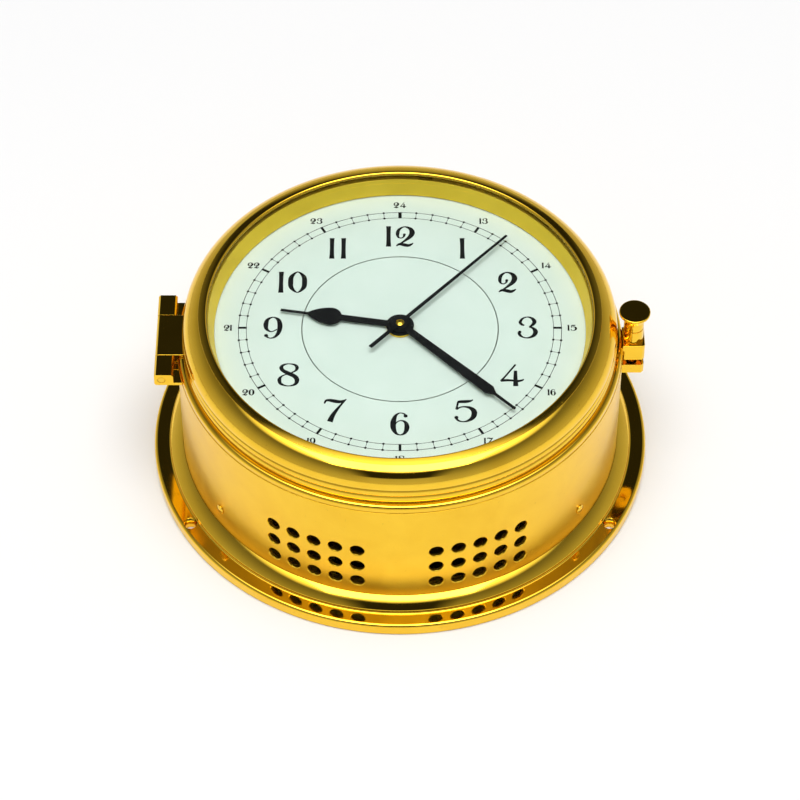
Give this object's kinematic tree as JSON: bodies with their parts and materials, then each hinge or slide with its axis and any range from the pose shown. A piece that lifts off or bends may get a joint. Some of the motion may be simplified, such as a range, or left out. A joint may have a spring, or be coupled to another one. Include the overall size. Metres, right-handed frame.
{
  "type": "ship's deck clock",
  "caption": "Round polished brass bulkhead clock: flanged case with a vented drum, hinged glazed bezel, thumbscrew latch, printed dial, hands and a battery movement.",
  "frame": {"origin": "centre of the back face of the mounting flange, which is the centre of the bottom of the bounding box", "axes": "+Z out of the dial towards the reader, +Y towards twelve o'clock, +X towards three o'clock and the thumbscrew"},
  "size_m": [0.21, 0.21, 0.0817],
  "materials": {
    "polished_brass": "mirror polished",
    "satin_brass": "satin",
    "dial_enamel": "satin off-white with black printing",
    "hand_black": "satin black",
    "window_glass": "clear",
    "rubber": "matt black",
    "felt": "dark felt",
    "movement_plastic": "fine matt black",
    "plate_plastic": "natural white",
    "gear_plastic": "natural acetal",
    "battery_jacket": "printed jacket",
    "plated_steel": "nickel plated",
    "magnet": "ground",
    "enamelled_copper": "enamelled copper wire",
    "board": "solder resist",
    "resin": "cured resin"
  },
  "bodies": {
    "case": {"base_flange": "polished_brass", "rear_cover": "satin_brass", "rear_cover_screws": "satin_brass", "case_drum": "polished_brass", "drum_screws": "satin_brass", "rim_ring": "satin_brass", "dial_ring": "satin_brass", "dial_ring_screws": "satin_brass", "dial_plate": "dial_enamel", "dial_screws": "satin_brass", "hinge_case_leaf": "polished_brass", "hinge_leaf_screws": "satin_brass", "hinge_pin": "satin_brass", "latch_case_lug": "polished_brass", "latch_lug_screws": "satin_brass", "movement_rear_case": "movement_plastic", "movement_middle_plate": "plate_plastic", "movement_front_case": "movement_plastic", "dial_washer": "rubber", "fixing_nut": "satin_brass", "battery": "battery_jacket", "battery_contact_positive": "plated_steel", "battery_contact_negative": "plated_steel", "stator": "plated_steel", "coil_core": "plated_steel", "coil_bobbin": "plate_plastic", "coil_winding": "enamelled_copper", "circuit_board": "board", "timing_chip": "resin", "quartz_crystal": "plated_steel"},
    "bezel": {"bezel_ring": "polished_brass", "bezel_glass": "window_glass", "glass_gasket": "rubber", "glass_retaining_ring": "satin_brass", "dust_seal": "felt", "hinge_bezel_leaf": "polished_brass", "latch_bezel_lug": "polished_brass"},
    "latch_screw": {"latch_stud": "satin_brass"},
    "latch_thumb_knob": {"latch_knob": "polished_brass"},
    "seconds_train": {"seconds_wheel": "gear_plastic", "second_hand": "hand_black", "second_hand_cap": "satin_brass"},
    "rotor": {"rotor_pinion": "gear_plastic", "rotor_magnet": "magnet"},
    "intermediate": {"intermediate_wheel": "gear_plastic"},
    "third": {"third_wheel": "gear_plastic"},
    "centre": {"centre_wheel": "gear_plastic"},
    "minute_train": {"minute_pipe": "satin_brass", "minute_hand": "hand_black"},
    "minute_work": {"minute_wheel": "gear_plastic"},
    "hour_train": {"hour_wheel": "gear_plastic", "hour_hand": "hand_black"},
    "setting": {"setting_shaft": "gear_plastic", "setting_knob": "movement_plastic"}
  },
  "joints": [
    {"name": "bezel_hinge", "type": "hinge", "parent": "case", "child": "bezel", "pos_m": [-0.098, 0, 0.0634], "axis": [0, -1, 0], "range_deg": [0, 180]},
    {"name": "latch_travel", "type": "slide", "parent": "bezel", "child": "latch_screw", "axis": [0, 0, 1], "range_m": [0, 0.00601]},
    {"name": "latch_turn", "type": "hinge", "parent": "latch_screw", "child": "latch_thumb_knob", "pos_m": [0.0966, 0, 0.07], "axis": [0, 0, 1], "range_deg": [0, 2700]},
    {"name": "seconds_turn", "type": "hinge", "parent": "case", "child": "seconds_train", "pos_m": [0, 0, 0.06], "axis": [0, 0, 1], "continuous": true},
    {"name": "rotor_turn", "type": "hinge", "parent": "case", "child": "rotor", "pos_m": [-0.01337, 0.00758, 0.06], "axis": [0, 0, 1], "continuous": true},
    {"name": "intermediate_turn", "type": "hinge", "parent": "case", "child": "intermediate", "pos_m": [-0.009, 0, 0.06], "axis": [0, 0, 1], "continuous": true},
    {"name": "third_turn", "type": "hinge", "parent": "case", "child": "third", "pos_m": [0.0045, 0.00779, 0.06], "axis": [0, 0, 1], "continuous": true},
    {"name": "centre_turn", "type": "hinge", "parent": "case", "child": "centre", "pos_m": [0, 0, 0.06], "axis": [0, 0, 1], "continuous": true},
    {"name": "minute_turn", "type": "hinge", "parent": "case", "child": "minute_train", "pos_m": [0, 0, 0.06], "axis": [0, 0, 1], "continuous": true},
    {"name": "minute_wheel_turn", "type": "hinge", "parent": "case", "child": "minute_work", "pos_m": [0.00789, -0.00287, 0.06], "axis": [0, 0, 1], "continuous": true},
    {"name": "hour_turn", "type": "hinge", "parent": "case", "child": "hour_train", "pos_m": [0, 0, 0.06], "axis": [0, 0, 1], "continuous": true},
    {"name": "setting_turn", "type": "hinge", "parent": "case", "child": "setting", "pos_m": [0.01579, 0, 0.06], "axis": [0, 0, 1], "continuous": true}
  ],
  "couplings": [
    {"joint": "latch_travel", "follows": "latch_turn", "m_per_rad": 0.00012732},
    {"joint": "intermediate_turn", "follows": "seconds_turn", "ratio": -5},
    {"joint": "rotor_turn", "follows": "seconds_turn", "ratio": 30},
    {"joint": "third_turn", "follows": "seconds_turn", "ratio": -0.13333},
    {"joint": "centre_turn", "follows": "seconds_turn", "ratio": 0.016667},
    {"joint": "minute_wheel_turn", "follows": "minute_turn", "ratio": -0.33333},
    {"joint": "hour_turn", "follows": "minute_turn", "ratio": 0.083333},
    {"joint": "setting_turn", "follows": "minute_turn", "ratio": 1}
  ]
}
